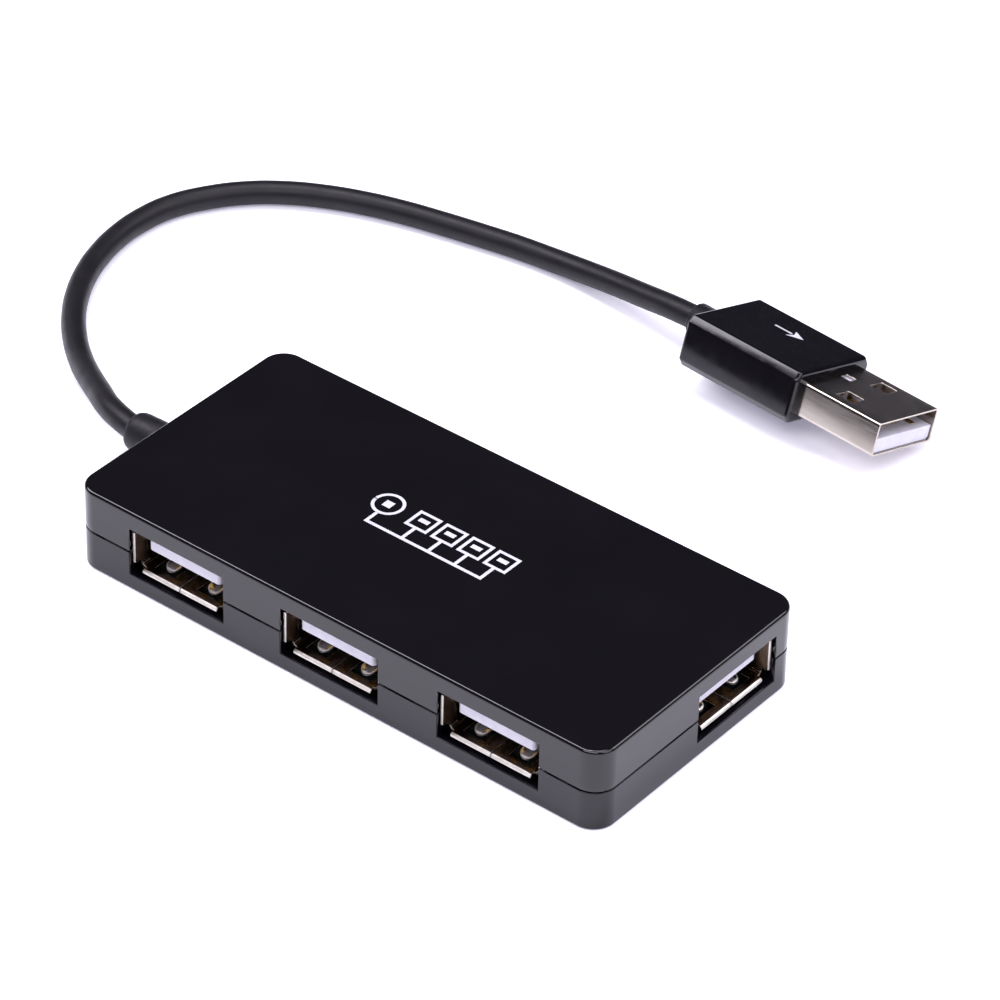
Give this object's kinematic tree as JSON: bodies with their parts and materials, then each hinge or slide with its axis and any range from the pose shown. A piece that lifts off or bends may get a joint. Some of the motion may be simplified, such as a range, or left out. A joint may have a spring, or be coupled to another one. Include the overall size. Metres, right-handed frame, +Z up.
{
  "type": "usb hub",
  "caption": "Slim box-shaped USB hub with a row of ports on one long side, one port in the end, and a short captive lead ending in a type A plug.",
  "frame": {"origin": "middle of the underside of the case", "axes": "+X along the case towards the end port, the row of three ports faces -Y, the lead leaves the -X end, +Z up"},
  "size_m": [0.1223, 0.0902, 0.0113],
  "materials": {
    "case_black": "injection-moulded ABS, polished tool, glossy black",
    "board_mask": "glass-epoxy board with black solder resist",
    "chip_black": "moulded epoxy, matt black",
    "nickel_steel": "stamped steel sheet, nickel plated",
    "crystal_can": "drawn metal can, nickel plated",
    "ceramic": "ceramic chip capacitors, light brown",
    "white_nylon": "glass-filled nylon, white, slightly cool",
    "contact_gold": "phosphor bronze, gold flash",
    "lead_black": "soft PVC jacket, black, satin",
    "relief_black": "soft PVC moulding, black, matt",
    "wire_red": "PVC insulation, red",
    "wire_white": "PVC insulation, white",
    "wire_green": "PVC insulation, green",
    "wire_black": "PVC insulation, black",
    "grip_black": "PVC overmould, polished tool, glossy black"
  },
  "bodies": {
    "hub": {"bottom_shell": "case_black", "top_cover": "case_black", "circuit_board": "board_mask", "hub_controller": "chip_black", "crystal": "crystal_can", "chip_capacitors": "ceramic", "chip_resistors": "chip_black", "port_1_shell": "nickel_steel", "port_2_shell": "nickel_steel", "port_3_shell": "nickel_steel", "port_4_shell": "nickel_steel", "port_1_insulator": "white_nylon", "port_2_insulator": "white_nylon", "port_3_insulator": "white_nylon", "port_4_insulator": "white_nylon", "port_1_tails": "contact_gold", "port_2_tails": "contact_gold", "port_3_tails": "contact_gold", "port_4_tails": "contact_gold", "strain_relief": "relief_black", "lead_end": "lead_black", "red_wire": "wire_red", "white_wire": "wire_white", "green_wire": "wire_green", "black_wire": "wire_black", "lead": "lead_black", "plug_grip": "grip_black", "plug_shell": "nickel_steel", "plug_insulator": "white_nylon", "plug_contacts": "contact_gold"},
    "port_1_spring_set": {"port_1_springs": "contact_gold"},
    "port_2_spring_set": {"port_2_springs": "contact_gold"},
    "port_3_spring_set": {"port_3_springs": "contact_gold"},
    "port_4_spring_set": {"port_4_springs": "contact_gold"}
  },
  "joints": [
    {"name": "port_1_spring_flex", "type": "hinge", "parent": "hub", "child": "port_1_spring_set", "pos_m": [-0.0235, -0.00835, 0.00679], "axis": [-1, 0, 0], "range_deg": [0, 4], "stiffness_Nm_per_rad": 0.05},
    {"name": "port_2_spring_flex", "type": "hinge", "parent": "hub", "child": "port_2_spring_set", "pos_m": [0, -0.00835, 0.00679], "axis": [-1, 0, 0], "range_deg": [0, 4], "stiffness_Nm_per_rad": 0.05},
    {"name": "port_3_spring_flex", "type": "hinge", "parent": "hub", "child": "port_3_spring_set", "pos_m": [0.0235, -0.00835, 0.00679], "axis": [-1, 0, 0], "range_deg": [0, 4], "stiffness_Nm_per_rad": 0.05},
    {"name": "port_4_spring_flex", "type": "hinge", "parent": "hub", "child": "port_4_spring_set", "pos_m": [0.0291, 0.007, 0.00679], "axis": [0, -1, 0], "range_deg": [0, 4], "stiffness_Nm_per_rad": 0.05}
  ]
}
